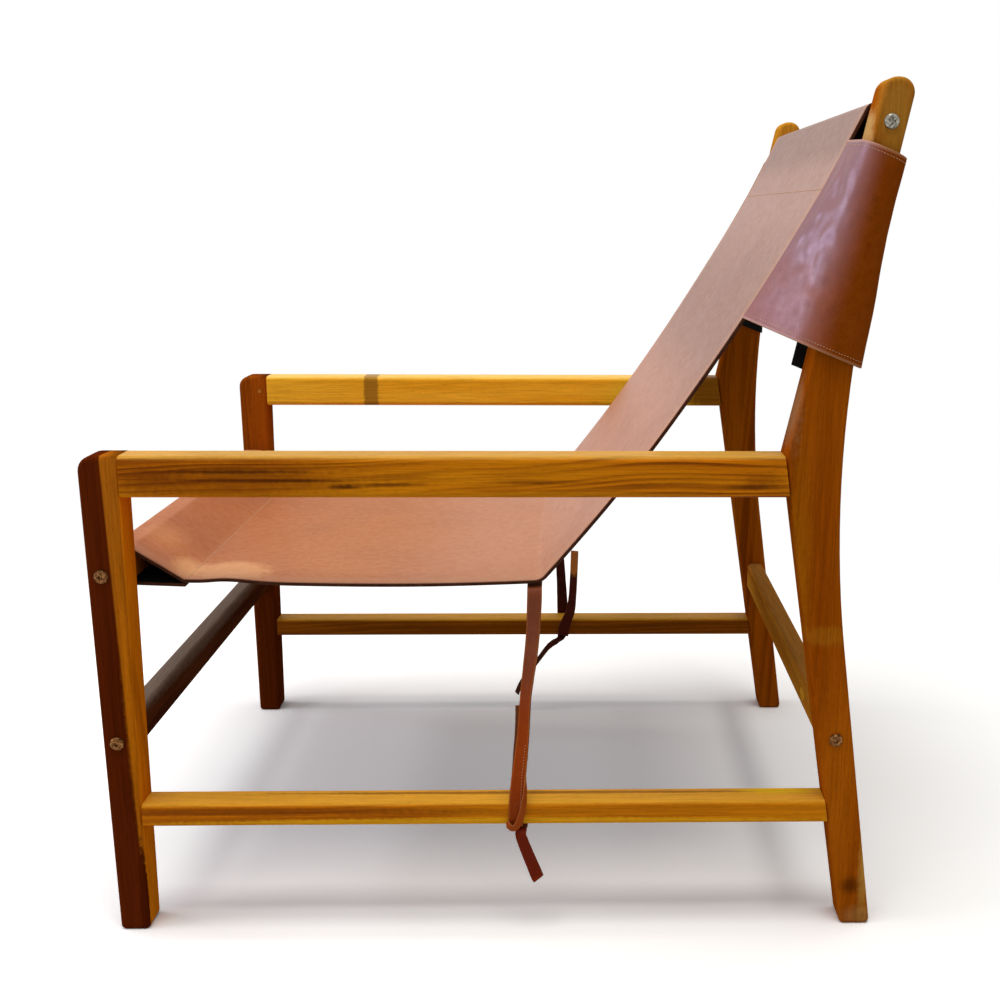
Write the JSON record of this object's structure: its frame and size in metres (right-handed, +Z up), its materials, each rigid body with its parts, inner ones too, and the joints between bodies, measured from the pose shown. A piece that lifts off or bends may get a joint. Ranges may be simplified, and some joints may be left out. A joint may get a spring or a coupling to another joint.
{
  "type": "sling lounge chair",
  "caption": "Low lounge chair: bolted hardwood frame with flat arms and raked back posts, carrying a leather sling seat and back held by post sleeves and ties.",
  "frame": {"origin": "on the floor, in the middle of the chair's overall width and depth", "axes": "+X towards the sitter's left, -Y the way the sitter faces, +Z up"},
  "size_m": [0.6686, 0.7892, 0.853],
  "materials": {
    "heartwood": "oiled satin, dark heartwood",
    "teak": "oiled satin, mid brown",
    "golden_teak": "oiled satin, golden with dark streaks",
    "beech": "raw",
    "leather": "soft tan, low sheen",
    "cuff_leather": "red-brown, glossy and creased",
    "tie_leather": "dark red-brown strap",
    "canvas": "matt black backing",
    "bronze": "dull bronze plating",
    "steel": "bright zinc plating"
  },
  "bodies": {
    "root": {"left_front_leg": "heartwood", "right_front_leg": "heartwood", "left_back_post": "teak", "right_back_post": "teak", "left_armrest": "golden_teak", "right_armrest": "golden_teak", "left_side_stretcher": "golden_teak", "right_side_stretcher": "golden_teak", "left_armrest_peg": "beech", "right_armrest_peg": "beech", "seat_rail": "teak", "left_seat_rail_bolt": "bronze", "left_seat_rail_barrel_nut": "steel", "left_seat_rail_dowel": "beech", "right_seat_rail_bolt": "bronze", "right_seat_rail_barrel_nut": "steel", "right_seat_rail_dowel": "beech", "front_stretcher": "heartwood", "left_front_stretcher_bolt": "bronze", "left_front_stretcher_barrel_nut": "steel", "left_front_stretcher_dowel": "beech", "right_front_stretcher_bolt": "bronze", "right_front_stretcher_barrel_nut": "steel", "right_front_stretcher_dowel": "beech", "rear_stretcher": "golden_teak", "left_rear_stretcher_bolt": "bronze", "left_rear_stretcher_barrel_nut": "steel", "left_rear_stretcher_dowel": "beech", "right_rear_stretcher_bolt": "bronze", "right_rear_stretcher_barrel_nut": "steel", "right_rear_stretcher_dowel": "beech", "top_rail": "teak", "left_top_rail_bolt": "steel", "left_top_rail_barrel_nut": "steel", "left_top_rail_dowel": "beech", "right_top_rail_bolt": "steel", "right_top_rail_barrel_nut": "steel", "right_top_rail_dowel": "beech", "sling": "leather", "left_cuff": "cuff_leather", "right_cuff": "cuff_leather", "left_cuff_lining": "canvas", "right_cuff_lining": "canvas", "left_tie_strap": "tie_leather", "right_tie_strap": "tie_leather", "left_tie_tail": "tie_leather", "right_tie_tail": "tie_leather"}
  },
  "joints": []
}
